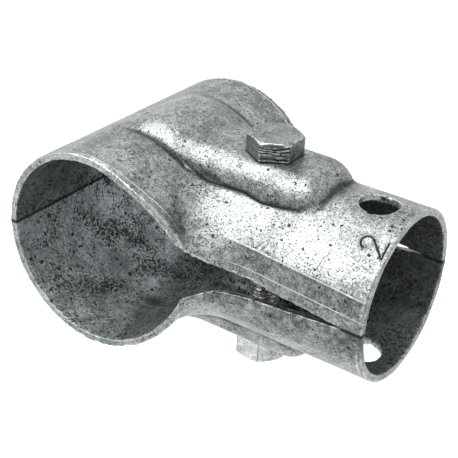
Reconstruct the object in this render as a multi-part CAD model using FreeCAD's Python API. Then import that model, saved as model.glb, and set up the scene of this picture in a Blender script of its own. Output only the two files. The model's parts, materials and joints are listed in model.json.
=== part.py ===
import FreeCAD
import Part
import math
import os

# Tube clamp tee fitting: two pressed steel half shells, drawn together by one
# hexagon bolt and nut. Both halves are pressed alike, and the upper one is trimmed
# to open wider. The run tube lies along Y, the branch tube along +X, and the bolt
# stands along Z. The origin is where the two tube axes cross.
# All sizes are in millimetres.

# Tubes and sheet
run_bore = 73.0
branch_bore = 60.3
sheet = 3.2

# Lengths of the two sockets
collar_length = 98.0
branch_reach = 109.0

# Flare where the branch grows out of the run collar
flare_radius = 24.0

# Bell of each collar end towards the branch: the radius grows by collar_spread at the rim
collar_spread = 5.3
spread_start = 22.0
spread_angle = 100.0
spread_bury = 0.15

# Trim line of each collar end, seen from above: a straight cut, then an S curve
rim_straight = 16.0
rim_corner_radius = 45.0
rim_neck_radius = 15.0
rim_neck_margin = 0.6

# Opening between the halves: closed at the branch end, widest beside the run.
# Each gap is from the parting plane to the edge of one half.
contact_length = 9.0
mouth_distance = 8.0
throat_inset = 3.0
throat_radius = 14.0
upper_mouth_gap = 6.2
upper_throat_gap = 14.0
lower_mouth_gap = 4.2
lower_throat_gap = 9.0

# Flat topped pad that seats the bolt head
pad_rise = 5.85
pad_width = 30.0
pad_beyond_bolt = 23.3
pad_nose_radius = 12.0
pad_nose_draft = 35.0
pad_shoulder_radius = 9.0
pad_foot_radius = 2.5
pad_draft = 12.0

# Bolt and nut
thread_size = 12.0
hole_clearance = 2.0
across_flats = 19.0
head_height = 7.5
nut_height = 10.0
bolt_stick_out = 1.8
bolt_setback = 9.8
thread_clearance = 0.05
hex_chamfer_angle = 30.0
point_chamfer = 1.2
nut_turn = 25.0

# Behind its grip the branch collar is wider inside, clear of the tube's cut end
grip_relief = 0.6
tube_end_gap = 1.5

# Cross hole near the branch end
pin_hole = 14.5
pin_end_distance = 14.8

# Places that follow from the sizes
run_outer = run_bore / 2 + sheet
branch_outer = branch_bore / 2 + sheet
collar_half = collar_length / 2
pad_top = branch_outer + pad_rise
bolt_x = run_outer + bolt_setback
pin_x = branch_reach - pin_end_distance
pad_root = 0.6 * branch_outer
pad_nose = bolt_x + pad_beyond_bolt
core_half = branch_outer + flare_radius + sheet + collar_half
grip_start = bolt_x + thread_size / 2 + tube_end_gap
above_all = run_outer + pad_top
past_end = 2 * branch_reach

# Two places closer than this count as one
same_place = 0.01
touching = 0.0001

axis_x = FreeCAD.Vector(1, 0, 0)
axis_y = FreeCAD.Vector(0, 1, 0)
axis_z = FreeCAD.Vector(0, 0, 1)


def at(x, y, z):
    return FreeCAD.Vector(x, y, z)


def halfway(edge):
    return edge.valueAt((edge.FirstParameter + edge.LastParameter) / 2)


def lies_on(point, shape):
    vertex = Part.Vertex(point)
    gaps = [face.distToShape(vertex)[0] for face in shape.Faces]
    return min(gaps) < touching


def flared_tee(inset):
    """Run and branch cylinders joined by the rolling flare."""
    run = Part.makeCylinder(run_outer - inset, 2 * core_half, at(0, -core_half, 0), axis_y)
    length = branch_reach + inset
    branch = Part.makeCylinder(branch_outer - inset, length, at(0, 0, 0), axis_x)
    tee = run.fuse(branch).removeSplitter()
    plain = ("Part::GeomCircle", "Part::GeomLine")
    joint = [edge for edge in tee.Edges if edge.Curve.TypeId not in plain]
    return tee.makeFillet(flare_radius + inset, joint)


def drafted_edge(inset, draft):
    """How far a drafted wall moves in at its top, and how far its root stands out."""
    slope = math.tan(math.radians(draft))
    shift = inset * (1 / math.cos(math.radians(draft)) - slope)
    return shift, (pad_top - inset - pad_root) * slope


def pad_block(inset):
    """Pad with drafted sides, a rounded sloping nose and rounded top shoulders.

    It is rooted well inside the branch, so that only its upper part stands out.
    """
    top = pad_top - inset
    side_shift, side_spread = drafted_edge(inset, pad_draft)
    nose_shift, nose_spread = drafted_edge(inset, pad_nose_draft)
    half_width = pad_width / 2 - side_shift
    nose = pad_nose - nose_shift
    wide = half_width + side_spread
    long = nose + nose_spread
    tail = -nose_spread
    side_view = [at(tail, -wide, pad_root), at(long, -wide, pad_root)]
    side_view += [at(nose, -wide, top), at(0, -wide, top), at(tail, -wide, pad_root)]
    block = Part.Face(Part.makePolygon(side_view)).extrude(axis_y * 2 * wide)
    ends = []
    for edge in block.Edges:
        if edge.BoundBox.ZMin > top - same_place and abs(halfway(edge).y) < same_place:
            ends.append(edge)
    block = block.makeFillet(pad_nose_radius - inset, ends)
    end_view = [at(tail, -wide, pad_root), at(tail, wide, pad_root)]
    end_view += [at(tail, half_width, top), at(tail, -half_width, top), at(tail, -wide, pad_root)]
    block = block.common(Part.Face(Part.makePolygon(end_view)).extrude(axis_x * (long - tail)))
    shoulders = []
    for edge in block.Edges:
        point = halfway(edge)
        if point.z > pad_root + same_place and abs(point.y) > half_width / 2:
            shoulders.append(edge)
    return block.makeFillet(pad_shoulder_radius - inset, shoulders)


def collar_bell(inset, side):
    """Tilted cone that opens one collar end towards the branch."""
    angle = math.radians(spread_angle)
    rim_y = collar_half + spread_bury + sheet
    growth = collar_spread * (rim_y - spread_start) / (collar_half - spread_start)
    radius = run_outer - inset - spread_bury
    start = at(0, side * spread_start, 0)
    run = at(-growth * math.cos(angle), side * rim_y, -growth * math.sin(angle)) - start
    bell = Part.makeCone(radius, radius + growth, run.Length, start, run)
    back = run_outer * math.cos(angle)
    front = Part.makeBox(above_all, 2 * rim_y, above_all, at(back, -rim_y, 0))
    return bell.common(front)


def pressed_form(inset):
    """The form that bounds the sheet: its outside at inset 0, its inside at inset sheet."""
    tee = flared_tee(inset)
    upper_side = Part.makeBox(past_end + core_half, 2 * core_half, above_all, at(-core_half, -core_half, 0))
    tee = tee.common(upper_side).multiFuse([collar_bell(inset, -1), collar_bell(inset, 1)])
    pad = pad_block(inset)
    form = tee.fuse(pad)
    if inset > 0:
        return form
    crease = []
    for edge in form.Edges:
        point = halfway(edge)
        if point.z > pad_rise and lies_on(point, tee) and lies_on(point, pad):
            crease.append(edge)
    return form.makeFillet(pad_foot_radius, crease)


def rim_outline():
    """Plan outline of the trimmed sheet: straight collar ends, S curves, branch end."""
    neck_y = branch_outer + rim_neck_margin
    drop = collar_half - neck_y
    reach = rim_corner_radius + rim_neck_radius
    run_off = math.sqrt(reach ** 2 - (reach - drop) ** 2)
    corner_y = collar_half - rim_corner_radius
    neck_x = rim_straight + run_off
    turn = math.acos((reach - drop) / reach)
    back = -run_outer - sheet
    end = branch_reach

    def corner_point(angle):
        x = rim_straight + rim_corner_radius * math.sin(angle)
        return x, corner_y + rim_corner_radius * math.cos(angle)

    def neck_point(angle):
        x = neck_x - rim_neck_radius * math.sin(angle)
        return x, neck_y + rim_neck_radius * (1 - math.cos(angle))

    edges = []
    for side in (-1, 1):
        start = at(rim_straight, side * collar_half, 0)
        mid_x, mid_y = corner_point(turn / 2)
        join_x, join_y = corner_point(turn)
        dip_x, dip_y = neck_point(turn / 2)
        join = at(join_x, side * join_y, 0)
        neck = at(neck_x, side * neck_y, 0)
        edges.append(Part.LineSegment(at(back, side * collar_half, 0), start).toShape())
        edges.append(Part.Arc(start, at(mid_x, side * mid_y, 0), join).toShape())
        edges.append(Part.Arc(join, at(dip_x, side * dip_y, 0), neck).toShape())
        edges.append(Part.LineSegment(neck, at(end, side * neck_y, 0)).toShape())
    edges.append(Part.LineSegment(at(end, -neck_y, 0), at(end, neck_y, 0)).toShape())
    edges.append(Part.LineSegment(at(back, -collar_half, 0), at(back, collar_half, 0)).toShape())
    wire = Part.Wire(Part.__sortEdges__(edges))
    return Part.Face(wire).extrude(axis_z * above_all)


def mouth_cut(mouth_gap, throat_gap):
    """What is cut from the parting edge so that the halves can be drawn together."""
    wide = 2 * core_half
    shut = branch_reach - contact_length
    points = [at(0, -core_half, 0), at(shut, -core_half, 0)]
    points.append(at(run_outer + mouth_distance, -core_half, mouth_gap))
    points.append(at(run_outer - throat_inset, -core_half, throat_gap))
    points.append(at(0, -core_half, throat_gap))
    points.append(points[0])
    block = Part.Face(Part.makePolygon(points)).extrude(axis_y * wide)
    bend = []
    for edge in block.Edges:
        point = halfway(edge)
        if abs(point.x - run_outer - mouth_distance) < same_place and abs(point.y) < same_place:
            bend.append(edge)
    return block.makeFillet(throat_radius, bend)


def pressed_half():
    """The sheet between the two forms, trimmed and pierced, before its mouth is cut."""
    relief = Part.makeCylinder(branch_bore / 2 + grip_relief, grip_start, at(0, 0, 0), axis_x)
    inside = pressed_form(sheet).fuse(relief)
    shell = pressed_form(0).common(rim_outline()).cut(inside)
    bolt_hole = Part.makeCylinder((thread_size + hole_clearance) / 2, above_all, at(bolt_x, 0, 0))
    pin = Part.makeCylinder(pin_hole / 2, above_all, at(pin_x, 0, 0))
    return shell.cut(bolt_hole).cut(pin)


def hexagon(height, chamfers):
    """Hexagon prism on z = 0, corners along Y, with its ends turned to a chamfer."""
    corner = across_flats / math.sqrt(3)
    points = []
    for step in range(7):
        angle = math.radians(60 * step + 90)
        points.append(at(corner * math.cos(angle), corner * math.sin(angle), 0))
    prism = Part.Face(Part.makePolygon(points)).extrude(axis_z * height)
    slope = math.tan(math.radians(hex_chamfer_angle))
    flat = across_flats / 2
    drop = (corner - flat) * slope
    wide = corner + (corner - flat)
    lift = drop * 2
    profile = [at(0, 0, height), at(flat, 0, height), at(wide, 0, height - lift)]
    if chamfers == 2:
        profile += [at(wide, 0, lift), at(flat, 0, 0), at(0, 0, 0)]
    else:
        profile += [at(wide, 0, 0), at(0, 0, 0)]
    profile.append(profile[0])
    turned = Part.Face(Part.makePolygon(profile)).revolve(at(0, 0, 0), axis_z, 360)
    return prism.common(turned)


def clamp_bolt():
    length = 2 * pad_top + nut_height + bolt_stick_out
    head = hexagon(head_height, 1)
    shank = Part.makeCylinder(thread_size / 2, length + head_height / 2, at(0, 0, -length))
    tip = [e for e in shank.Edges if abs(e.BoundBox.ZMax + length) < same_place]
    shank = shank.makeChamfer(point_chamfer, tip)
    bolt = head.fuse(shank).removeSplitter()
    bolt.translate(at(bolt_x, 0, pad_top))
    return bolt


def clamp_nut():
    nut = hexagon(nut_height, 2)
    bore = thread_size / 2 + thread_clearance
    nut = nut.cut(Part.makeCylinder(bore, nut_height))
    nut.rotate(at(0, 0, 0), axis_z, nut_turn)
    nut.translate(at(bolt_x, 0, -pad_top - nut_height))
    return nut


pressing = pressed_half()
upper = pressing.cut(mouth_cut(upper_mouth_gap, upper_throat_gap))
lower = pressing.cut(mouth_cut(lower_mouth_gap, lower_throat_gap))

pieces = {
    "upper_half_shell": upper,
    "lower_half_shell": lower.mirror(at(0, 0, 0), axis_z),
    "clamp_bolt": clamp_bolt(),
    "clamp_nut": clamp_nut(),
}

os.makedirs("parts", exist_ok=True)
for name, shape in pieces.items():
    solid = shape.Solids[0]
    solid.exportStep("parts/" + name + ".step")
    print(name, "solids", len(shape.Solids), "valid", solid.isValid(), "volume", round(solid.Volume))
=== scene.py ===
# Tube clamp tee fitting: two galvanised half shells, a hexagon bolt and a nut.
# The run tube lies along Y, the branch tube along X, and the bolt stands along Z.
import bpy
import json
import math
import numpy
from mathutils import Vector, Matrix, noise
from mathutils.bvhtree import BVHTree

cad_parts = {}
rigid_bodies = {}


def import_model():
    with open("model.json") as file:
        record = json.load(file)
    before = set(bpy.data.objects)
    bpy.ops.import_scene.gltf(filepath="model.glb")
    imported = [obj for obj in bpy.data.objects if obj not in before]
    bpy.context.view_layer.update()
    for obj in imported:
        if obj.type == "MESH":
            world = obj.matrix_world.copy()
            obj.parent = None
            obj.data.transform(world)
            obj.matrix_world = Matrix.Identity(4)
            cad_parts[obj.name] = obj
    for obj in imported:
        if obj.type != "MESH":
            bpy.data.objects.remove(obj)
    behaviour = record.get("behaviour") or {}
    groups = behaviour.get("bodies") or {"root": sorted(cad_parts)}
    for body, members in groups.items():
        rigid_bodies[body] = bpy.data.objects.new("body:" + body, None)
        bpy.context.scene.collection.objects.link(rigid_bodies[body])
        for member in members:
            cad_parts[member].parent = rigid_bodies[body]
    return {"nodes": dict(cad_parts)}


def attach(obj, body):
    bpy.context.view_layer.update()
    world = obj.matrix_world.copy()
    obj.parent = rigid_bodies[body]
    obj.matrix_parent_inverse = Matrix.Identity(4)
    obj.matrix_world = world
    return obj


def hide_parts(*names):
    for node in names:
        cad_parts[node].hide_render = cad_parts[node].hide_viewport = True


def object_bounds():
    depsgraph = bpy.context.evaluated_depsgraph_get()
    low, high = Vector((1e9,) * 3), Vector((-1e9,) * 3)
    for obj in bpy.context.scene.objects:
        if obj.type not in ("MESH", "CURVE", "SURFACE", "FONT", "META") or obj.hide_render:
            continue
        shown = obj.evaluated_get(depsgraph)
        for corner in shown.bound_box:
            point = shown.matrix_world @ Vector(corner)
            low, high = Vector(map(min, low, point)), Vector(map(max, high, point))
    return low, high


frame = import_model()
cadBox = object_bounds()
nodes = frame["nodes"]
mm = 0.001
leastWeight = 0.001
print("frame loaded")

# Camera
cameraSettings = {
    "aim": Vector((24.21, 0, 0)) * mm,
    "azimuth": 33.75,
    "elevation": 29.25,
    "roll": 2.83,
    "distance": 434.41 * mm,
    "slide": (5.45 * mm, -2.17 * mm),
    "focalPixels": 1093.78,
    "imagePixels": 458,
    "sensor": 36,
    "clipStart": 10 * mm,
}


def placeCamera(s):
    turn = math.radians(s["azimuth"])
    lift = math.radians(s["elevation"])
    roll = math.radians(s["roll"])
    back = Vector((math.sin(turn) * math.cos(lift), -math.cos(turn) * math.cos(lift), math.sin(lift)))
    level = Vector((math.cos(turn), math.sin(turn), 0))
    upright = back.cross(level)
    right = level * math.cos(roll) + upright * math.sin(roll)
    up = upright * math.cos(roll) - level * math.sin(roll)
    camera = bpy.data.cameras.new("camera")
    camera.sensor_width = s["sensor"]
    camera.lens = s["focalPixels"] / s["imagePixels"] * s["sensor"]
    camera.clip_start = s["clipStart"]
    holder = bpy.data.objects.new("camera", camera)
    bpy.context.scene.collection.objects.link(holder)
    spot = s["aim"] + back * s["distance"] + right * s["slide"][0] + up * s["slide"][1]
    axes = Matrix((right, up, back)).transposed().to_4x4()
    holder.matrix_world = Matrix.Translation(spot) @ axes
    bpy.context.scene.camera = holder


placeCamera(cameraSettings)
print("camera placed")

bpy.context.scene.view_settings.view_transform = "Standard"

# Sizes of the part that the dressing follows
partSizes = {
    "runRadius": 39.7 * mm,
    "branchRadius": 33.35 * mm,
    "halfSheet": 1.6 * mm,
    "collarHalf": 49 * mm,
    "padTop": 39.2 * mm,
    "boltX": 49.5 * mm,
    "acrossFlats": 19 * mm,
    "threadRadius": 6 * mm,
    "boltTip": -51.0 * mm,
}


# Small helpers
def deselectAll():
    for each in bpy.context.view_layer.objects:
        each.select_set(False)


def makeActive(piece):
    deselectAll()
    piece.select_set(True)
    bpy.context.view_layer.objects.active = piece


def applyModifier(piece, kind, **settings):
    makeActive(piece)
    modifier = piece.modifiers.new(kind.lower(), kind)
    for name, value in settings.items():
        setattr(modifier, name, value)
    bpy.ops.object.modifier_apply(modifier=modifier.name)


def mergedCopy(node, name, mergeDistance):
    piece = bpy.data.objects.new(name, nodes[node].data.copy())
    bpy.context.scene.collection.objects.link(piece)
    makeActive(piece)
    bpy.ops.object.mode_set(mode="EDIT")
    bpy.ops.mesh.select_all(action="SELECT")
    bpy.ops.mesh.remove_doubles(threshold=mergeDistance)
    bpy.ops.object.mode_set(mode="OBJECT")
    return piece


def readPoints(piece):
    points = numpy.empty(len(piece.data.vertices) * 3)
    piece.data.vertices.foreach_get("co", points)
    return points.reshape(-1, 3)


def readNormals(piece):
    normals = numpy.empty(len(piece.data.vertices) * 3)
    piece.data.vertices.foreach_get("normal", normals)
    return normals.reshape(-1, 3)


def between(low, high, value):
    share = numpy.clip((value - low) / (high - low), 0, 1)
    return share * share * (3 - 2 * share)


def pressOut(piece, depth, weights, direction="NORMAL"):
    group = piece.vertex_groups.new(name="press")
    for index in numpy.nonzero(weights > leastWeight)[0]:
        group.add([int(index)], float(weights[index]), "REPLACE")
    applyModifier(piece, "DISPLACE", vertex_group="press", strength=depth, mid_level=0, direction=direction)
    piece.vertex_groups.remove(piece.vertex_groups["press"])


def cloudNoise(points, size, seed):
    offset = Vector((seed, 2.3 * seed, 5.1 * seed))
    return numpy.array([noise.noise(Vector(p) / size + offset) for p in points])


def distanceToPath(points, path):
    nearest = numpy.full(len(points), 1.0)
    for start, end in zip(path[:-1], path[1:]):
        start = numpy.array(start)
        run = numpy.array(end) - start
        share = numpy.clip((points - start) @ run / (run @ run), 0, 1)
        nearest = numpy.minimum(nearest, numpy.linalg.norm(points - start - share[:, None] * run, axis=1))
    return nearest


def addMask(piece, name, values):
    layer = piece.data.attributes.new(name=name, type="FLOAT", domain="POINT")
    layer.data.foreach_set("value", values.astype(numpy.float32))


def liftWhenSmoothed(piece, steps):
    softened = piece.copy()
    softened.data = piece.data.copy()
    bpy.context.scene.collection.objects.link(softened)
    applyModifier(softened, "SMOOTH", factor=0.5, iterations=steps)
    lift = ((readPoints(softened) - readPoints(piece)) * readNormals(piece)).sum(1)
    bpy.data.objects.remove(softened)
    return lift


# Crease mask for painted shade and dirt in creases, edge mask for painted highlight and wear on edges
def wearAndPaintedLightOf(piece, s):
    lift = liftWhenSmoothed(piece, s["maskSmoothSteps"])
    crease = between(s["creaseDepth"] * s["creaseEdgeStart"], s["creaseDepth"], lift)
    edge = between(s["edgeDepth"] * s["creaseEdgeStart"], s["edgeDepth"], -lift)
    return crease, edge


def hexDistance(points, turn):
    reach = numpy.full(len(points), -1.0)
    for step in range(6):
        angle = math.radians(60 * step + turn)
        across = (points[:, 0] - partSizes["boltX"]) * math.cos(angle) + points[:, 1] * math.sin(angle)
        reach = numpy.maximum(reach, across)
    return reach - partSizes["acrossFlats"] / 2


# Shells: a merged copy of each pressing, remeshed so that every sheet edge is worn round,
# then pressed a little further where the photograph shows it
shellSettings = {
    # Remeshing
    "voxel": 0.72 * mm,
    "mergeDistance": 0.002 * mm,
    "smoothFactor": 0.5,
    "smoothSteps": 2,

    # Where the halves close on each other
    "closedBack": (-25 * mm, -32 * mm),
    "closedEnd": (98 * mm, 102 * mm),
    "seamClose": 0.3 * mm,
    "seamReach": 0.9 * mm,
    "seamShares": (0.6, 1.3),
    "seamWidth": 1.5 * mm,

    # Shoulder of the pad over the crown of the collar
    "crownTop": (43.3 * mm, 39.2 * mm),
    "crownReach": (2 * mm, 30 * mm),
    "crownFlat": 9.5 * mm,
    "crownFoot": 19.6 * mm,
    "crownFarFoot": 25.5 * mm,
    "crownBack": (-15 * mm, 5 * mm),
    "crownFront": (14 * mm, 34 * mm),
    "crownAbove": 20 * mm,
    "crownMost": 5 * mm,
    "crownRay": 100 * mm,
    "crownFade": (20 * mm, 31 * mm),
    "crownSides": (10 * mm, 14 * mm),
    "crownHeights": (20 * mm, 26 * mm),
    "crownCleared": 0.95,

    # Die line along the branch: height at an x, and slope
    "dieLine": (16.4 * mm, 55 * mm, -0.072),
    "dieFrom": (40 * mm, 58 * mm),
    "dieTo": (107.6 * mm, 108.6 * mm),
    "dieRise": 0.9 * mm,
    "dieBelow": 1.5 * mm,
    "dieAbove": 24 * mm,
    "secondDie": 7.2 * mm,
    "secondThinner": 0.1 * mm,
    "dieWidth": (0.16 * mm, 0.34 * mm),
    "dieShadeBelow": 0.8 * mm,
    "dieShadeWidth": (0.3 * mm, 0.7 * mm),
    "dieShade": 0.35,
    "dieShownFrom": (46 * mm, 60 * mm),
    "dieShownTo": (107.8 * mm, 108.4 * mm),
    "dieShownAbove": -1 * mm,

    # Uneven zinc
    "wander": 0.2 * mm,
    "wanderSize": 9 * mm,
    "wanderSeed": 3,
    "ripple": 0.1 * mm,
    "rippleSize": 2.4 * mm,
    "rippleSeed": 7,

    # Bead beside the curved rims
    "rimStraight": 16 * mm,
    "rimCorner": 45 * mm,
    "beadFrom": -8 * mm,
    "beadStart": 8 * mm,
    "beadTo": (29 * mm, 37 * mm),
    "beadHeights": (8 * mm, 14 * mm),
    "beadNear": 1.1 * mm,
    "beadDrift": 0.06,
    "beadWidth": 0.55 * mm,
    "beadRise": 0.35 * mm,
    "beadLeast": 0.02,
    "beadShown": 4,

    # Ridges of the pressing that get a painted highlight, each with its strength and its points in mm
    "ridgeReach": 1.5 * mm,
    "ridges": (
        (0.85, ((-1.5, -18.0, 40), (9.0, -18.2, 38.9), (17.2, -18.8, 35.9), (22.8, -19.5, 32.6),
                (27.9, -21.4, 29.9), (32.3, -24.1, 27.2), (36, -27, 22))),
        (0.9, ((18.3, -18.6, 35.6), (23.6, -18.8, 32.2), (27.8, -19.0, 30.4))),
        (0.75, ((-0.3, 22.6, 40.2), (7.6, 23.4, 39.3), (15.3, 24, 36.9), (22.5, 24, 33.4))),
    ),

    # Groove at the foot of the pad, its points in mm, and the shade above it
    "footLine": ((20.9, -17.5, 33.8), (26.4, -17.9, 31.1), (32.5, -18.3, 29.1), (39.9, -17.5, 28.7),
                 (48.6, -17.4, 28.9), (56.0, -18.2, 27.8), (64.1, -17.8, 28.3), (71.9, -17.0, 29.2),
                 (75.3, -14.8, 31.1), (77.4, -9.7, 32.5), (78.4, 0, 33.2)),
    "footReach": 1.25 * mm,
    "footGroove": 0.4 * mm,
    "footFade": 0.3,
    "footFadeFrom": (62 * mm, 74 * mm),
    "padSides": (17 * mm, 18.6 * mm),
    "padFrom": (28 * mm, 42 * mm),
    "padShade": (0.2 * mm, 5.5 * mm),
    "padPaintedShade": 0.5,
    "belowSides": (17.6 * mm, 18.8 * mm),
    "belowFrom": (24 * mm, 30 * mm),
    "belowTo": 76 * mm,
    "belowCleared": 0.75,
    "headShadow": 1.3 * mm,
    "headRing": (1.5 * mm, 0.6 * mm),
    "headRingShare": 0.8,
    "digitDarkening": 0.85,

    # Small dark marks on the crown, painted shade inside and along the pressing, and stains
    "marks": ((-13 * mm, -5.2 * mm), (-6.5 * mm, -6 * mm)),
    "markSize": 1.1 * mm,
    "upperInnerShade": 0.5,
    "stripShade": 0.4,
    "stripEdge": 0.5 * mm,
    "branchInnerShade": 0.85,
    "branchFrom": (29 * mm, 36 * mm),
    "branchHeights": (-27 * mm, -18 * mm),
    "patchShares": (0.6, 1.2),
    "patchSize": 2.5 * mm,
    "patchSeed": 29,
    "throatFrom": (5 * mm, -25 * mm),
    "throatSlant": 0.3,
    "throatWander": 4 * mm,
    "throatSoft": (-2 * mm, 3 * mm),
    "throatShade": 0.62,
    "lowerDarkening": 0.2,
    "lipDirt": 0.7,
    "lipHeights": (11 * mm, 6 * mm),
    "lipFrom": (28 * mm, 40 * mm),
    "lipCleared": 0.85,
    "pinHole": (94.2 * mm, 8.2 * mm),

    # How far a surface has to face out or in, and how deep a crease, edge or hollow counts
    "outerFacing": (0.1, 0.4),
    "innerFacing": (0.25, 0.75),
    "maskSmoothSteps": 8,
    "creaseEdgeStart": 0.25,
    "creaseDepth": 0.1 * mm,
    "edgeDepth": 0.17 * mm,
    "hollowSmoothSteps": 100,
    "hollowDepth": (0.04 * mm, 0.4 * mm),
}
digitSettings = {
    "baseX": 107.2 * mm,
    "leftArc": 23.9 * mm,
    "bowlCentre": (4.2 * mm, 7.3 * mm),
    "bowlRadius": 2.4 * mm,
    "bowlTurn": (165, -38),
    "bowlSteps": 18,
    "foot": 6.2 * mm,
    "strokeWidth": 0.44 * mm,
    "strokeFade": (0.3, 1),
    "lipRise": (0.8, 1.4),
    "lipFall": (1.4, 2.4),
    "endFacing": 0.7,
    "depth": 0.42 * mm,
    "lip": 0.16 * mm,
    "region": 2 * mm,
    "cuts": 3,
}


def closedAt(x, s):
    return between(*s["closedBack"], x) + between(*s["closedEnd"], x)


def dieHeight(x, s):
    return s["dieLine"][0] + (x - s["dieLine"][1]) * s["dieLine"][2]


def foldedUp(points, side):
    x, y, z = points.T
    return x, y, z * side


def inMetres(path):
    return [tuple(value * mm for value in spot) for spot in path]


def rimDistance(x, y, s):
    corner = numpy.array((s["rimStraight"], partSizes["collarHalf"] - s["rimCorner"]))
    onStraight = partSizes["collarHalf"] - abs(y)
    onCurve = s["rimCorner"] - numpy.hypot(x - corner[0], abs(y) - corner[1])
    return numpy.where(x < corner[0], onStraight, onCurve)


def sideOfSheet(points, normals):
    x, y, z = points.T
    runAxis = numpy.stack((x, 0 * y, z), 1)
    branchAxis = numpy.stack((0 * x, y, z), 1)
    useBranch = (x > 0) & (numpy.linalg.norm(branchAxis, axis=1) < numpy.linalg.norm(runAxis, axis=1))
    out = numpy.where(useBranch[:, None], branchAxis, runAxis)
    out /= numpy.maximum(numpy.linalg.norm(out, axis=1), 1e-6)[:, None]
    return (out * normals).sum(1)


def facesOut(points, shell, s):
    return between(*s["outerFacing"], sideOfSheet(points, readNormals(shell)))


def crownRise(shell, side, s):
    corners = [vertex.co for vertex in shell.data.vertices]
    tree = BVHTree.FromPolygons(corners, [face.vertices for face in shell.data.polygons])
    rise = numpy.zeros(len(shell.data.vertices))
    for index, vertex in enumerate(shell.data.vertices):
        x, y, z = vertex.co
        inReach = s["crownBack"][0] < x < s["crownFront"][1] and abs(y) < s["crownFarFoot"]
        if not inReach or z * side <= s["crownAbove"]:
            continue
        hit = tree.ray_cast(Vector((x, y, side * s["crownRay"])), Vector((0, 0, -side)))[0]
        surface = hit.z * side if hit else z * side
        collar = math.sqrt(partSizes["runRadius"] ** 2 - x ** 2)
        slide = float(between(*s["crownReach"], x))
        top = s["crownTop"][0] * (1 - slide) + s["crownTop"][1] * slide
        foot = s["crownFoot"] if y < 0 else s["crownFarFoot"]
        width = min(max((abs(y) - s["crownFlat"]) / (foot - s["crownFlat"]), 0), 1)
        wanted = collar + (top - collar) * (1 - width ** 2)
        fade = float(between(*s["crownBack"], x) * (1 - between(*s["crownFront"], x)))
        rise[index] = max(wanted - surface, 0) * fade
    return rise


def digitPath(s):
    across, up = s["bowlCentre"]
    start, end = s["bowlTurn"]
    path = []
    for step in range(s["bowlSteps"] + 1):
        angle = math.radians(start + (end - start) * step / s["bowlSteps"])
        path.append((across + s["bowlRadius"] * math.cos(angle), up + s["bowlRadius"] * math.sin(angle)))
    path += [(0, 0), (s["foot"], 0)]
    return path


def stampDigit(shell, s):
    radius = partSizes["branchRadius"]
    skinRadius = radius - partSizes["halfSheet"]
    path = digitPath(s)
    tall = max(point[1] for point in path) + s["region"]
    wide = s["foot"] + s["region"]
    mesh = shell.data
    mesh.polygons.foreach_set("select", [False] * len(mesh.polygons))
    for face in mesh.polygons:
        x, y, z = face.center
        arc = radius * math.atan2(-y, z)
        near = -s["region"] < s["baseX"] - x < tall and -s["region"] < s["leftArc"] - arc < wide
        face.select = near and math.hypot(y, z) > skinRadius and abs(face.normal.x) < s["endFacing"]
    makeActive(shell)
    bpy.ops.object.mode_set(mode="EDIT")
    bpy.ops.mesh.select_mode(type="FACE")
    bpy.ops.mesh.subdivide(number_cuts=s["cuts"], quadcorner="INNERVERT")
    bpy.ops.object.mode_set(mode="OBJECT")
    x, y, z = readPoints(shell).T
    arc = radius * numpy.arctan2(-y, z)
    flat = numpy.stack((s["leftArc"] - arc, s["baseX"] - x), 1)
    strokes = distanceToPath(flat, path) / s["strokeWidth"]
    outside = (numpy.hypot(y, z) > skinRadius) & (x > 0)
    groove = (1 - between(*s["strokeFade"], strokes)) * outside
    lip = between(*s["lipRise"], strokes) * (1 - between(*s["lipFall"], strokes)) * outside
    pressOut(shell, -s["depth"], groove)
    pressOut(shell, s["lip"], lip)
    return groove


def pressShell(shell, side, s):
    # The halves meet at the back and at the branch end
    x, y, z = foldedUp(readPoints(shell), side)
    pressOut(shell, -s["seamClose"] * side, closedAt(x, s) * (1 - between(0, s["seamReach"], z)), "Z")

    # The pad runs on over the crown of the run collar with a soft shoulder
    pressOut(shell, s["crownMost"] * side, crownRise(shell, side, s) / s["crownMost"], "Z")

    # A die line along both sides of the branch, with a flatter strip below it
    x, y, z = foldedUp(readPoints(shell), side)
    line = dieHeight(x, s)
    strip = numpy.clip((z - s["dieBelow"]) / (line - s["dieBelow"]), 0, 1)
    cap = numpy.clip((s["dieAbove"] - z) / (s["dieAbove"] - line), 0, 1)
    ridge = numpy.minimum(strip, cap) * between(*s["dieFrom"], x) * (1 - between(*s["dieTo"], x))
    outside = numpy.hypot(y, z) > partSizes["branchRadius"] - partSizes["halfSheet"]
    pressOut(shell, s["dieRise"], ridge * outside)

    # Dipped zinc is never quite even
    points = readPoints(shell)
    wander = 0.5 + 0.5 * cloudNoise(points, s["wanderSize"], s["wanderSeed"] + side)
    pressOut(shell, -s["wander"], numpy.clip(wander, 0, 1))
    ripple = 0.5 + 0.5 * cloudNoise(points, s["rippleSize"], s["rippleSeed"] + side)
    pressOut(shell, -s["ripple"], numpy.clip(ripple, 0, 1))


# A fine bead runs beside each curved rim and drifts away from it
def pressBead(shell, points, side, s):
    x, y, z = foldedUp(points, side)
    inward = rimDistance(x, y, s) - (s["beadNear"] + s["beadDrift"] * (x - s["beadFrom"]))
    bead = numpy.exp(-(inward / s["beadWidth"]) ** 2)
    bead *= between(s["beadFrom"], s["beadFrom"] + s["beadStart"], x) * (1 - between(*s["beadTo"], x))
    bead *= facesOut(points, shell, s) * between(*s["beadHeights"], z)
    pressOut(shell, s["beadRise"], bead)
    # Its ridge mask paints a highlight along the bead
    near = numpy.clip(1 - abs(inward) / s["ridgeReach"], 0, 1)
    return (bead > s["beadLeast"]) * near * numpy.clip(bead * s["beadShown"], 0, 1)
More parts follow.
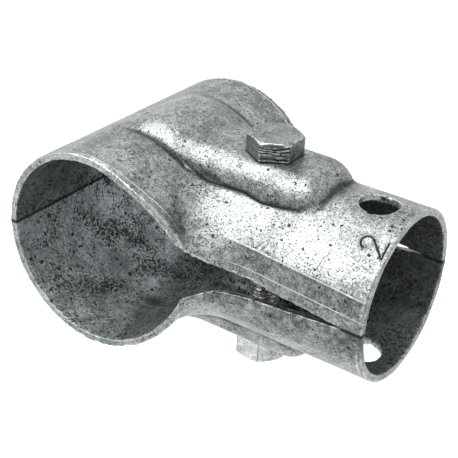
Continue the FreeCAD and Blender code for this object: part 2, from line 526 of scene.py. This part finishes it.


# The groove round the foot of the pad with its dark line, part painted shade and part dirt, the painted
# shade on the pad above it, and how much of the creases stays
def pressFoot(shell, points, side, s):
    x, y, z = foldedUp(points, side)
    outer = facesOut(points, shell, s)
    away = distanceToPath(numpy.stack((x, -abs(y), z), 1), inMetres(s["footLine"]))
    foot = numpy.clip(1 - away / s["footReach"], 0, 1) * outer
    foot *= 1 - s["footFade"] * between(*s["footFadeFrom"], x)
    pressOut(shell, -s["footGroove"], foot)
    crown = (1 - between(*s["crownFade"], x)) * between(*s["crownSides"], abs(y))
    creaseLeft = 1 - s["crownCleared"] * crown * between(*s["crownHeights"], z)
    below = outer * between(*s["belowSides"], abs(y)) * between(*s["belowFrom"], x)
    creaseLeft *= 1 - s["belowCleared"] * below * (x < s["belowTo"])
    # Painted shade on the pad just above its foot
    onPad = outer * (1 - between(*s["padSides"], abs(y))) * between(*s["padFrom"], x)
    padShade = s["padPaintedShade"] * onPad * (1 - between(*s["padShade"], away))
    return foot, padShade, creaseLeft


# Painted highlights along the ridges and small dark marks that only the upper half shows
def upperLines(points, outer, ridge, s):
    marks = numpy.zeros(len(points))
    for share, path in s["ridges"]:
        away = distanceToPath(points, inMetres(path))
        ridge = numpy.maximum(ridge, share * numpy.clip(1 - away / s["ridgeReach"], 0, 1) * outer)
    for markX, markY in s["marks"]:
        away = numpy.hypot(points[:, 0] - markX, (points[:, 1] - markY) * 0.5)
        marks = numpy.maximum(marks, (1 - between(s["markSize"] * 0.5, s["markSize"], away)) * outer)
    return ridge, marks


# Painted shade on the inner side of the sheet, on the pad, below the die line, in the branch and the
# throat; the lower half's outside darkened, with patchy stains on its lip
def paintShadeAndStains(points, side, inner, plainLip, padShade, s):
    x, y, z = foldedUp(points, side)
    # Painted shade inside the upper half, and on the pad above its foot
    shade = numpy.maximum(s["upperInnerShade"] * inner * (side > 0), padShade)
    # Painted shade on the strip below the die line
    belowLine = 1 - between(-s["stripEdge"], s["stripEdge"], z - dieHeight(x, s))
    strip = (1 - inner) * between(*s["dieFrom"], x) * belowLine * (y < 0)
    shade = numpy.maximum(shade, s["stripShade"] * strip)
    # Painted shade deep inside the lower branch
    deep = inner * between(*s["branchFrom"], x) * between(*s["branchHeights"], points[:, 2])
    shade = numpy.maximum(shade, s["branchInnerShade"] * deep)
    if side < 0:
        level, swing = s["patchShares"]
        patchy = numpy.clip(level + swing * cloudNoise(points, s["patchSize"], s["patchSeed"]), 0, 1)
        # Painted shade in the throat, with a patchy edge
        throat = s["throatFrom"][0] - (y - s["throatFrom"][1]) * s["throatSlant"]
        throat += s["throatWander"] * (patchy - level)
        shade = numpy.maximum(shade, s["throatShade"] * inner * between(*s["throatSoft"], x - throat))
        # The outside of the lower half darkened a little, with patchy stains on its lip
        shade = numpy.maximum(shade, (s["lowerDarkening"] + s["lipDirt"] * plainLip * patchy) * (1 - inner))
    return shade


def makeShell(node, name, s, digit=None):
    shell = mergedCopy(node, name, s["mergeDistance"])
    applyModifier(shell, "REMESH", mode="VOXEL", voxel_size=s["voxel"], use_smooth_shade=True)
    applyModifier(shell, "SMOOTH", factor=s["smoothFactor"], iterations=s["smoothSteps"])
    side = 1 if readPoints(shell)[:, 2].mean() > 0 else -1
    pressShell(shell, side, s)
    groove = stampDigit(shell, digit) if digit else 0
    points = readPoints(shell)
    ridge = pressBead(shell, points, side, s)
    crease, edge = wearAndPaintedLightOf(shell, s)
    foot, padShade, creaseLeft = pressFoot(shell, points, side, s)
    crease *= creaseLeft

    # Masks for the finish, read from the finished shape
    points = readPoints(shell)
    x, y, z = foldedUp(points, side)
    # Painted shade in broad hollows, from how far the surface rises when smoothed
    paintedShadeAndStain = between(*s["hollowDepth"], liftWhenSmoothed(shell, s["hollowSmoothSteps"]))
    inner = between(*s["innerFacing"], -sideOfSheet(points, readNormals(shell)))
    closed = numpy.clip(closedAt(x, s), 0, 1)
    seam = (1 - between(*(share * s["seamReach"] for share in s["seamShares"]), z)) * closed
    # Painted shadow round the foot of the bolt head on the pad
    ring = 1 - between(0, s["headShadow"], abs(hexDistance(points, 0)))
    ring *= between(*(partSizes["padTop"] - drop for drop in s["headRing"]), z)
    marks = 0
    if side > 0:
        ridge, marks = upperLines(points, 1 - inner, ridge, s)
    # The stamped digit darkened in its groove
    foot = numpy.maximum(foot, s["digitDarkening"] * groove)
    for dark in (closed * numpy.clip(1 - abs(z) / s["seamWidth"], 0, 1), marks, s["headRingShare"] * ring):
        foot = numpy.maximum(foot, dark)
    plainLip = (side < 0) * between(*s["lipHeights"], z) * between(*s["lipFrom"], x)
    shade = paintShadeAndStains(points, side, inner, plainLip, padShade, s)
    inHole = (numpy.hypot(x - s["pinHole"][0], y) < s["pinHole"][1]) * (1 - inner)
    # Masks for painted shade and dirt in creases and along the foot, painted highlight and wear on edges
    # and ridges, and painted shade and stains in hollows
    addMask(shell, "crease", numpy.clip(crease * (1 - seam) + seam + ring, 0, 1))
    addMask(shell, "edge", edge * (1 - seam) * (1 - s["lipCleared"] * plainLip))
    addMask(shell, "ridge", ridge)
    addMask(shell, "foot", foot)
    addMask(shell, "paintedShadeAndStain", numpy.maximum(paintedShadeAndStain, shade) * (1 - inHole))
    addMask(shell, "inner", inner)
    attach(shell, "root")
    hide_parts(node)
    print(name, "has", len(shell.data.polygons), "faces")
    return shell


upperShell = makeShell("upper_half_shell", "upperShell", shellSettings, digitSettings)
lowerShell = makeShell("lower_half_shell", "lowerShell", shellSettings)

# Bolt: the head is remeshed from the node with forging lines, the shank gets a rolled thread.
# The nut is remeshed from its node with the same settings.
boltSettings = {
    "voxel": 0.3 * mm,
    "mergeDistance": 0.002 * mm,
    "smoothFactor": 0.5,
    "smoothSteps": 3,
    "headCut": 0.02 * mm,
    "frontFlat": (0.5, -0.866, 0),
    "flankFacing": (0.55, 0.85),
    "forgeLines": (1.2 * mm, 3.1 * mm, 4.3 * mm, 5.4 * mm),
    "forgeWidth": 0.34 * mm,
    "forgeDepth": 0.42 * mm,
    "forgeWobble": 1.1 * mm,
    "forgeWobbleSize": 4 * mm,
    "forgeWobbleSeed": 11,
    "forgeShares": (0.7, 1.3, 0.05),
    "forgePatchSize": 2.4 * mm,
    "forgePatchSeed": 17,
    "forgeFacing": (0.6, 0.9),
    "forgeElsewhere": 0.05,
    "frontFacing": (0.55, 0.9),
    "frontShade": 0.85,
    "flankShade": 0.45,
    "forgeLineShade": 1.3,
    "baseHeights": (0.1 * mm, 0.5 * mm),
    "baseLeast": -0.2 * mm,
    "nutTurn": 55,
    "cornerPart": 0.25 * mm,
    "lineReach": 1.1 * mm,
    "pitch": 1.75 * mm,
    "threadDepth": 0.95 * mm,
    "threadSides": 48,
    "threadShape": (1.15, 1.3),
    "threadFade": (0.3 * mm, 2.2 * mm),
    "threadSkin": 0.05 * mm,
    "firstCuts": 19,
    "secondCuts": 19,
    "pointChamfer": 1.2 * mm,
    "rootInHead": 2 * mm,
    "sameSpot": 0.01 * mm,
    "shadeAngle": 50,
    "maskSmoothSteps": 10,
    "creaseEdgeStart": 0.25,
    "creaseDepth": 0.05 * mm,
    "edgeDepth": 0.06 * mm,
}


def flankOf(normals, s):
    return between(*s["flankFacing"], numpy.hypot(normals[:, 0], normals[:, 1]))


def forgeWeights(piece, s):
    points = readPoints(piece)
    normals = readNormals(piece)
    height = points[:, 2] - partSizes["padTop"]
    wobble = cloudNoise(points, s["forgeWobbleSize"], s["forgeWobbleSeed"]) * s["forgeWobble"]
    weights = numpy.zeros(len(points))
    for line in s["forgeLines"]:
        weights = numpy.maximum(weights, numpy.exp(-((height + wobble - line) / s["forgeWidth"]) ** 2))
    level, swing, least = s["forgeShares"]
    uneven = level + swing * cloudNoise(points, s["forgePatchSize"], s["forgePatchSeed"])
    front = between(*s["forgeFacing"], normals @ numpy.array(s["frontFlat"]))
    uneven = numpy.clip(uneven, least, 1) * (s["forgeElsewhere"] + (1 - s["forgeElsewhere"]) * front)
    return weights * flankOf(normals, s) * uneven


# Painted shade lines where the nut meets the bolt and along its corners
def nutLines(piece, s):
    across, along = readPoints(piece)[:, :2].T
    across = across - partSizes["boltX"]
    corner = partSizes["acrossFlats"] / 2 / math.cos(math.radians(30))
    nearest = abs(numpy.hypot(across, along) - partSizes["threadRadius"])
    for step in range(6):
        angle = math.radians(60 * step + s["nutTurn"])
        away = numpy.hypot(across - corner * math.cos(angle), along - corner * math.sin(angle))
        nearest = numpy.minimum(nearest, away + s["cornerPart"])
    return numpy.clip(1 - nearest / s["lineReach"], 0, 1)


def dressFastener(piece, node, s, front=0):
    crease, edge = wearAndPaintedLightOf(piece, s)
    normals = readNormals(piece)
    height = readPoints(piece)[:, 2] - partSizes["padTop"]
    facing = between(*s["frontFacing"], normals @ numpy.array(s["frontFlat"])) * (height > 0)
    lines = front * forgeWeights(piece, s) * facing
    # Painted shadow along the foot of the head
    base = front * (1 - between(*s["baseHeights"], height)) * (height > s["baseLeast"])
    thin = 0 if front else nutLines(piece, s)
    flank = flankOf(normals, s) * (height > 0)
    addMask(piece, "crease", numpy.clip(crease + lines + base, 0, 1))
    addMask(piece, "edge", edge)
    # Painted shade on the front flat and the flanks of the head
    addMask(piece, "paintedShadeAndStain", front * numpy.maximum(s["frontShade"] * facing, s["flankShade"] * flank))
    addMask(piece, "ridge", 0 * crease)
    # Painted shade in the forge lines and along the foot of the head, and painted shade lines on the nut
    addMask(piece, "foot", numpy.clip(s["forgeLineShade"] * lines + base + thin, 0, 1))
    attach(piece, "root")
    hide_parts(node)
    print(piece.name, "has", len(piece.data.polygons), "faces")


def selectEdges(piece, wanted):
    mesh = piece.data
    for each in mesh.polygons:
        each.select = False
    for each in mesh.vertices:
        each.select = False
    for each in mesh.edges:
        first, second = (mesh.vertices[index].co for index in each.vertices)
        each.select = wanted(first, second)
    bpy.ops.object.mode_set(mode="EDIT")
    bpy.ops.mesh.select_mode(type="EDGE")


def makeShank(s):
    radius, low = partSizes["threadRadius"], partSizes["boltTip"]
    top = partSizes["padTop"] + s["rootInHead"]
    length = top - low
    deselectAll()
    bpy.ops.mesh.primitive_cylinder_add(vertices=s["threadSides"], radius=radius, depth=length,
                                        location=(partSizes["boltX"], 0, top - length / 2))
    shank = bpy.context.object
    bpy.ops.object.transform_apply(location=True, rotation=True, scale=True)
    selectEdges(shank, lambda first, second: max(first.z, second.z) < low + s["sameSpot"])
    bpy.ops.mesh.bevel(offset=s["pointChamfer"], segments=2, profile=0.5)
    bpy.ops.object.mode_set(mode="OBJECT")
    for cuts in (s["firstCuts"], s["secondCuts"]):
        selectEdges(shank, lambda first, second: (first - second).xy.length < s["sameSpot"])
        bpy.ops.mesh.subdivide(number_cuts=cuts)
        bpy.ops.object.mode_set(mode="OBJECT")
    x, y, z = readPoints(shank).T
    turn = numpy.arctan2(y, x - partSizes["boltX"]) / (2 * math.pi)
    phase = (z / s["pitch"] - turn) % 1
    full, slope = s["threadShape"]
    groove = numpy.clip(full - numpy.abs(2 * phase - 1) * slope, 0, 1)
    groove *= between(*s["threadFade"], z - low)
    groove *= numpy.hypot(x - partSizes["boltX"], y) > radius - s["threadSkin"]
    pressOut(shank, -s["threadDepth"], groove)
    return shank


def makeBolt(s):
    head = mergedCopy("clamp_bolt", "clampBolt", s["mergeDistance"])
    bpy.ops.object.mode_set(mode="EDIT")
    bpy.ops.mesh.select_all(action="SELECT")
    cutAt = (0, 0, partSizes["padTop"] + s["headCut"])
    bpy.ops.mesh.bisect(plane_co=cutAt, plane_no=(0, 0, 1), clear_inner=True, use_fill=True)
    bpy.ops.object.mode_set(mode="OBJECT")
    applyModifier(head, "REMESH", mode="VOXEL", voxel_size=s["voxel"], use_smooth_shade=True)
    applyModifier(head, "SMOOTH", factor=s["smoothFactor"], iterations=s["smoothSteps"])
    pressOut(head, -s["forgeDepth"], forgeWeights(head, s))
    shank = makeShank(s)
    bpy.ops.object.shade_smooth_by_angle(angle=math.radians(s["shadeAngle"]))
    deselectAll()
    shank.select_set(True)
    head.select_set(True)
    bpy.context.view_layer.objects.active = head
    bpy.ops.object.join()
    dressFastener(head, "clamp_bolt", s, 1)
    return head


def makeNut(s):
    nut = mergedCopy("clamp_nut", "clampNut", s["mergeDistance"])
    applyModifier(nut, "REMESH", mode="VOXEL", voxel_size=s["voxel"], use_smooth_shade=True)
    applyModifier(nut, "SMOOTH", factor=s["smoothFactor"], iterations=s["smoothSteps"])
    dressFastener(nut, "clamp_nut", s)
    return nut


clampBolt = makeBolt(boltSettings)
clampNut = makeNut(boltSettings)


# Galvanised finish
def newMaterial(name):
    material = bpy.data.materials.new(name)
    material.use_nodes = True
    tree = material.node_tree
    return material, tree, tree.nodes["Principled BSDF"]


class Graph:
    def __init__(self, tree):
        self.tree = tree

    def add(self, kind, inputs=None, **settings):
        node = self.tree.nodes.new(kind)
        for name, value in settings.items():
            setattr(node, name, value)
        for name, value in (inputs or {}).items():
            self.feed(node.inputs[name], value)
        return node

    def feed(self, socket, value):
        if isinstance(value, bpy.types.NodeSocket):
            self.tree.links.new(value, socket)
        else:
            socket.default_value = value

    def math(self, operation, *values):
        node = self.add("ShaderNodeMath", operation=operation)
        for index, value in enumerate(values):
            self.feed(node.inputs[index], value)
        return node.outputs[0]

    def remap(self, value, low, high, start=0.0, end=1.0):
        ends = {"Value": value, "From Min": low, "From Max": high, "To Min": start, "To Max": end}
        return self.add("ShaderNodeMapRange", ends, interpolation_type="SMOOTHSTEP").outputs["Result"]

    def mix(self, share, first, second):
        node = self.add("ShaderNodeMix", data_type="RGBA")
        self.feed(node.inputs["Factor"], share)
        self.feed(node.inputs[6], first)
        self.feed(node.inputs[7], second)
        return node.outputs[2]

    def noise(self, where, scale, detail=2.0, rough=0.5, distortion=0.0):
        node = self.add("ShaderNodeTexNoise", {"Vector": where, "Scale": scale, "Detail": detail,
                                               "Roughness": rough, "Distortion": distortion})
        return node.outputs["Fac"]


def makeGroup(name, inputs, outputs):
    group = bpy.data.node_groups.new(name, "ShaderNodeTree")
    for label, kind, value in inputs:
        socket = group.interface.new_socket(name=label, in_out="INPUT", socket_type=kind)
        if value is not None:
            socket.default_value = value
    for label, kind in outputs:
        group.interface.new_socket(name=label, in_out="OUTPUT", socket_type=kind)
    graph = Graph(group)
    return group, graph, graph.add("NodeGroupInput"), graph.add("NodeGroupOutput")


floatKind = "NodeSocketFloat"
colourKind = "NodeSocketColor"
vectorKind = "NodeSocketVector"


# Noises are given as scale, detail, roughness and distortion
skinSettings = {
    "cloud": (80.0, 4.0, 0.6, 0.6),
    "bloom": (480.0, 3.0, 0.7, 0.3),
    "grain": (1500.0, 3.0, 0.75),
    "toneRange": (0.4, 0.62),
    "darkGrain": (0.5, 0.62),
    "lightGrain": (0.36, 0.46, 1.0, 0.0),
    "lightShare": 0.55,
    "brightZinc": (0.78, 0.82, 0.8, 1),
    "speck": (3.0, 0.7),
    "speckSoft": 0.05,
    "patch": (60.0, 3.0, 0.6),
    "patchPull": 1.5,
    "pitLimit": 0.84,
    "pitDark": 0.9,
    "pitRough": 0.3,
    "pitDeep": 0.6,
    "stirScale": 1100.0,
    "stirReach": (1.6 * mm, 1.6 * mm, 1.6 * mm),
    "clump": (110.0, 2.0),
    "clumpRange": (0.36, 0.58, 0.55, 1.0),
    "dotScales": (560.0, 1100.0),
    "dotRarity": 4.0,
    "dotSoft": 0.06,
    "curl": (70.0, 2.0, 0.5, 1.4),
    "curlWidth": 0.011,
    "curlPlaces": (45.0, 1.0),
    "curlRange": (0.46, 0.6),
    "curlDark": 0.6,
    "curlDeep": 0.3,
    "roughSwing": 0.5,
    "bloomHigh": 0.5,
    "grainDeep": 0.35,
}


def makeZincSkin(s):
    inputs = [
        ("Place", vectorKind, None),
        ("Pale", colourKind, (0.42, 0.445, 0.435, 1)),
        ("Deep", colourKind, (0.2, 0.215, 0.215, 1)),
        ("Pit", colourKind, (0.02, 0.024, 0.024, 1)),
        ("Pit Share", floatKind, 0.25),
        ("Pit Size", floatKind, 900.0),
        ("Dots", floatKind, 0.3),
        ("Grain", floatKind, 0.6),
        ("Roughness", floatKind, 0.42),
    ]
    outputs = [("Color", colourKind), ("Roughness", floatKind), ("Height", floatKind)]
    group, g, given, result = makeGroup("zincSkin", inputs, outputs)
    place = given.outputs["Place"]
    deep, pale, pit = (given.outputs[name] for name in ("Deep", "Pale", "Pit"))
    cloud = g.noise(place, *s["cloud"])
    bloom = g.noise(place, *s["bloom"])
    grain = g.noise(place, *s["grain"])
    tone = g.math("ADD", g.math("MULTIPLY", cloud, 0.5), g.math("MULTIPLY", bloom, 0.5))
    colour = g.mix(g.remap(tone, *s["toneRange"]), deep, pale)
    dark = g.math("MULTIPLY", g.remap(grain, *s["darkGrain"]), given.outputs["Grain"])
    colour = g.mix(dark, colour, pit)
    light = g.math("MULTIPLY", g.remap(grain, *s["lightGrain"]), given.outputs["Grain"])
    colour = g.mix(g.math("MULTIPLY", light, s["lightShare"]), colour, s["brightZinc"])

    # Pits: fine specks that gather in patches, and stirred dots that gather in clumps
    speck = g.noise(place, given.outputs["Pit Size"], *s["speck"])
    patch = g.math("MULTIPLY", g.noise(place, *s["patch"]), s["patchPull"])
    limit = g.math("SUBTRACT", s["pitLimit"], g.math("MULTIPLY", given.outputs["Pit Share"], patch))
    pits = g.remap(g.math("SUBTRACT", speck, limit), 0.0, s["speckSoft"])
    stir = g.add("ShaderNodeTexNoise", {"Vector": place, "Scale": s["stirScale"], "Detail": 2.0})
    stirred = g.add("ShaderNodeVectorMath", {0: stir.outputs["Color"], 1: s["stirReach"], 2: place},
                    operation="MULTIPLY_ADD")
    clump = g.remap(g.noise(place, *s["clump"]), *s["clumpRange"])
    for dotScale in s["dotScales"]:
        cell = g.add("ShaderNodeTexVoronoi", {"Vector": stirred.outputs[0], "Scale": dotScale})
        pick = g.add("ShaderNodeSeparateColor", {"Color": cell.outputs["Color"]}).outputs[0]
        reach = g.math("MULTIPLY", g.math("POWER", pick, s["dotRarity"]), given.outputs["Dots"])
        reach = g.math("MULTIPLY", reach, clump)
        dot = g.remap(g.math("SUBTRACT", reach, cell.outputs["Distance"]), 0.0, s["dotSoft"])
        pits = g.math("MAXIMUM", pits, dot)
    colour = g.mix(g.math("MULTIPLY", pits, s["pitDark"]), colour, pit)

    # Thin curling flow lines, only here and there
    curl = g.noise(place, *s["curl"])
    line = g.math("ABSOLUTE", g.math("SUBTRACT", curl, 0.5))
    line = g.math("SUBTRACT", 1.0, g.remap(line, 0.0, s["curlWidth"]))
    line = g.math("MULTIPLY", line, g.remap(g.noise(place, *s["curlPlaces"]), *s["curlRange"]))
    colour = g.mix(g.math("MULTIPLY", line, s["curlDark"]), colour, pit)
    g.feed(result.inputs["Color"], colour)
    uneven = g.math("MULTIPLY", g.math("SUBTRACT", bloom, 0.5), s["roughSwing"])
    rough = g.math("ADD", given.outputs["Roughness"], uneven)
    rough = g.math("ADD", rough, g.math("MULTIPLY", pits, s["pitRough"]))
    g.feed(result.inputs["Roughness"], rough)
    height = g.math("MULTIPLY", bloom, s["bloomHigh"])
    height = g.math("SUBTRACT", height, g.math("MULTIPLY", grain, s["grainDeep"]))
    height = g.math("SUBTRACT", height, g.math("MULTIPLY", pits, s["pitDeep"]))
    height = g.math("SUBTRACT", height, g.math("MULTIPLY", line, s["curlDeep"]))
    g.feed(result.inputs["Height"], height)
    return group


zincSkin = makeZincSkin(skinSettings)

finishSettings = {
    "outer": {"Pale": (0.46, 0.49, 0.475, 1), "Deep": (0.19, 0.21, 0.208, 1), "Pit Share": 0.27,
              "Pit Size": 1500.0, "Dots": 0.44, "Grain": 0.62, "Roughness": 0.36},
    "inner": {"Pale": (0.62, 0.68, 0.705, 1), "Deep": (0.23, 0.265, 0.275, 1), "Pit Share": 0.4,
              "Pit Size": 1000.0, "Dots": 0.62, "Grain": 0.55, "Roughness": 0.46},
    "bolt": {"Pale": (0.38, 0.4, 0.4, 1), "Deep": (0.17, 0.19, 0.19, 1), "Pit Share": 0.3, "Grain": 0.4,
             "Roughness": 0.34},
    "nut": {"Pale": (0.68, 0.72, 0.7, 1), "Deep": (0.36, 0.39, 0.38, 1), "Pit Share": 0.25, "Grain": 0.35,
            "Roughness": 0.36},
    "outerMetal": 0.9,
    "innerMetal": 0.6,
    "bump": 0.7,
    "bumpDistance": 0.42 * mm,

    # Painted shade and dirt in creases, painted shade and stains in hollows, painted highlights and wear on
    # edges and ridges
    "crease": (0.018, 0.022, 0.02, 1),
    "creaseShare": 0.92,
    "creaseRough": 0.35,
    "edge": (0.68, 0.72, 0.7, 1),
    "edgeShare": 0.8,
    "edgeSmooth": 0.12,
    "shadeAndStainShare": 0.85,
    "breakUp": (700.0, 3.0, 0.7),
    "edgeBreak": (0.36, 0.58),
    "creaseBreak": (0.3, 0.55, 0.35, 0.75),
    "footCrisp": (0.5, 0.72),
    "ridgeCrisp": (0.66, 0.8),
    "ridgeBreak": (0.3, 0.5, 0.3, 1.0),
    "ridgeShadow": (0.3, 0.55),
    "ridgeShade": 0.32,
}


def placeSkin(g, place, settings):
    node = g.add("ShaderNodeGroup", node_tree=zincSkin)
    g.feed(node.inputs["Place"], place)
    for name, value in settings.items():
        node.inputs[name].default_value = value
    return node


def floatMix(g, share, first, second):
    node = g.add("ShaderNodeMix", data_type="FLOAT")
    for index, value in ((0, share), (2, first), (3, second)):
        g.feed(node.inputs[index], value)
    return node.outputs[0]


def wearAndPaintedLightMasks(g, place, s):
    masks = {}
    for name in ("edge", "crease", "paintedShadeAndStain", "ridge", "foot"):
        masks[name] = g.add("ShaderNodeAttribute", attribute_name=name).outputs["Fac"]
    breakUp = g.noise(place, *s["breakUp"])
    edge = g.math("MULTIPLY", masks["edge"], g.remap(breakUp, *s["edgeBreak"]))
    crease = g.math("MULTIPLY", masks["crease"], g.remap(breakUp, *s["creaseBreak"]))
    crease = g.math("MAXIMUM", crease, g.remap(masks["foot"], *s["footCrisp"]))
    bright = g.remap(masks["ridge"], *s["ridgeCrisp"])
    dark = g.math("SUBTRACT", g.remap(masks["ridge"], *s["ridgeShadow"]), bright)
    edge = g.math("MAXIMUM", edge, g.math("MULTIPLY", bright, g.remap(breakUp, *s["ridgeBreak"])))
    crease = g.math("MAXIMUM", crease, g.math("MULTIPLY", dark, s["ridgeShade"]))
    return edge, crease, masks["paintedShadeAndStain"]


# Two painted highlight lines along the branch, the upper one with a soft painted shade under it
def dieLines(g, place, inside, s):
    parts = g.add("ShaderNodeSeparateXYZ", {"Vector": place}).outputs
    height, alongX, slope = s["dieLine"]
    level = g.math("SUBTRACT", g.math("ABSOLUTE", parts["Z"]), height - slope * alongX)
    level = g.math("SUBTRACT", level, g.math("MULTIPLY", parts["X"], slope))
    first = g.math("ABSOLUTE", level)
    second = g.math("ABSOLUTE", g.math("ADD", level, s["secondDie"]))
    second = g.math("ADD", second, s["secondThinner"])
    bright = g.remap(g.math("MINIMUM", first, second), *s["dieWidth"], 1.0, 0.0)
    under = g.math("ABSOLUTE", g.math("ADD", level, s["dieShadeBelow"]))
    dark = g.remap(under, *s["dieShadeWidth"], s["dieShade"], 0.0)
    outside = g.math("SUBTRACT", 1.0, inside)
    reach = g.math("MULTIPLY", g.remap(parts["X"], *s["dieShownFrom"]), outside)
    reach = g.math("MULTIPLY", reach, g.remap(parts["X"], *s["dieShownTo"], 1.0, 0.0))
    reach = g.math("MULTIPLY", reach, g.remap(parts["Z"], s["dieShownAbove"], 0.0))
    return g.math("MULTIPLY", bright, reach), g.math("MULTIPLY", dark, reach)


def finishSurface(g, shader, s, place, colour, rough, height, lines=None):
    edge, crease, paintedShadeAndStain = wearAndPaintedLightMasks(g, place, s)
    if lines:
        edge = g.math("MAXIMUM", edge, lines[0])
        crease = g.math("MAXIMUM", crease, lines[1])
    # Painted shade and stains darken the colour, then edges take painted highlight and wear, and creases
    # painted shade and dirt
    colour = g.mix(g.math("MULTIPLY", paintedShadeAndStain, s["shadeAndStainShare"]), colour, s["crease"])
    colour = g.mix(g.math("MULTIPLY", edge, s["edgeShare"]), colour, s["edge"])
    colour = g.mix(g.math("MULTIPLY", crease, s["creaseShare"]), colour, s["crease"])
    g.feed(shader.inputs["Base Color"], colour)
    rough = g.math("ADD", rough, g.math("MULTIPLY", crease, s["creaseRough"]))
    rough = g.math("SUBTRACT", rough, g.math("MULTIPLY", edge, s["edgeSmooth"]))
    g.feed(shader.inputs["Roughness"], rough)
    bump = g.add("ShaderNodeBump", {"Strength": s["bump"], "Distance": s["bumpDistance"], "Height": height})
    g.feed(shader.inputs["Normal"], bump.outputs["Normal"])


def makeShellZinc(s):
    material, tree, shader = newMaterial("shellZinc")
    g = Graph(tree)
    place = g.add("ShaderNodeTexCoord").outputs["Object"]
    outer = placeSkin(g, place, s["outer"])
    inner = placeSkin(g, place, s["inner"])
    inside = g.add("ShaderNodeAttribute", attribute_name="inner").outputs["Fac"]
    colour = g.mix(inside, outer.outputs["Color"], inner.outputs["Color"])
    rough = floatMix(g, inside, outer.outputs["Roughness"], inner.outputs["Roughness"])
    height = floatMix(g, inside, outer.outputs["Height"], inner.outputs["Height"])
    g.feed(shader.inputs["Metallic"], floatMix(g, inside, s["outerMetal"], s["innerMetal"]))
    finishSurface(g, shader, s, place, colour, rough, height, dieLines(g, place, inside, shellSettings))
    return material


def makeFastenerZinc(name, s):
    material, tree, shader = newMaterial(name + "Zinc")
    g = Graph(tree)
    place = g.add("ShaderNodeTexCoord").outputs["Object"]
    skin = placeSkin(g, place, s[name])
    shader.inputs["Metallic"].default_value = s["outerMetal"]
    finishSurface(g, shader, s, place, *(skin.outputs[name] for name in ("Color", "Roughness", "Height")))
    return material


def dress(piece, material):
    piece.data.materials.clear()
    piece.data.materials.append(material)


shellZinc = makeShellZinc(finishSettings)
boltZinc = makeFastenerZinc("bolt", finishSettings)
nutZinc = makeFastenerZinc("nut", finishSettings)
for shell in (upperShell, lowerShell):
    dress(shell, shellZinc)
dress(clampBolt, boltZinc)
dress(clampNut, nutZinc)
print("finish made")

# Floor, surround and lamps
stageSettings = {
    "floorDrop": 260 * mm,
    "floorGlow": 0.72,
    "floorSize": 6.0,
    "floorColour": (0.8, 0.8, 0.8, 1),
    "surround": 0.3,
}
lampSettings = {
    "key": {"from": (-0.308, -0.394, 0.866), "distance": 0.85, "size": (1.05, 1.05), "power": 11.5,
            "colour": (1, 0.985, 0.955)},
}


def whiteShare(g):
    path = g.add("ShaderNodeLightPath")
    share = g.math("MAXIMUM", path.outputs["Is Camera Ray"], path.outputs["Is Glossy Ray"])
    return g.math("MAXIMUM", share, path.outputs["Is Transmission Ray"])


def makeStage(s):
    low = Vector(cadBox[0])
    deselectAll()
    bpy.ops.mesh.primitive_plane_add(size=s["floorSize"], location=(0, 0, low.z - s["floorDrop"]))
    floor = bpy.context.object
    floor.name = "floor"
    material, tree, shader = newMaterial("floorWhite")
    g = Graph(tree)
    shader.inputs["Base Color"].default_value = s["floorColour"]
    shader.inputs["Roughness"].default_value = 1
    shader.inputs["Emission Color"].default_value = (1, 1, 1, 1)
    g.feed(shader.inputs["Emission Strength"], g.math("MULTIPLY", whiteShare(g), s["floorGlow"]))
    blend = g.add("ShaderNodeMixShader")
    g.feed(blend.inputs[0], g.add("ShaderNodeNewGeometry").outputs["Backfacing"])
    g.feed(blend.inputs[1], shader.outputs[0])
    g.feed(blend.inputs[2], g.add("ShaderNodeBsdfTransparent").outputs[0])
    g.feed(tree.nodes["Material Output"].inputs["Surface"], blend.outputs[0])
    floor.data.materials.append(material)
    world = bpy.data.worlds.new("studio")
    bpy.context.scene.world = world
    world.use_nodes = True
    g = Graph(world.node_tree)
    background = world.node_tree.nodes["Background"]
    background.inputs["Color"].default_value = (1, 1, 1, 1)
    level = g.add("ShaderNodeMapRange", {"Value": whiteShare(g), "To Min": s["surround"], "To Max": 1.0})
    g.feed(background.inputs["Strength"], level.outputs["Result"])


def makeLamp(name, s):
    lamp = bpy.data.lights.new(name, "AREA")
    lamp.shape = "RECTANGLE"
    lamp.size, lamp.size_y = s["size"]
    lamp.energy = s["power"]
    lamp.color = s["colour"]
    holder = bpy.data.objects.new(name, lamp)
    bpy.context.scene.collection.objects.link(holder)
    direction = Vector(s["from"]).normalized()
    holder.location = cameraSettings["aim"] + direction * s["distance"]
    holder.rotation_euler = direction.to_track_quat("Z", "Y").to_euler()


makeStage(stageSettings)
for lampName, lampValues in lampSettings.items():
    makeLamp(lampName, lampValues)
print("stage and lamps made")
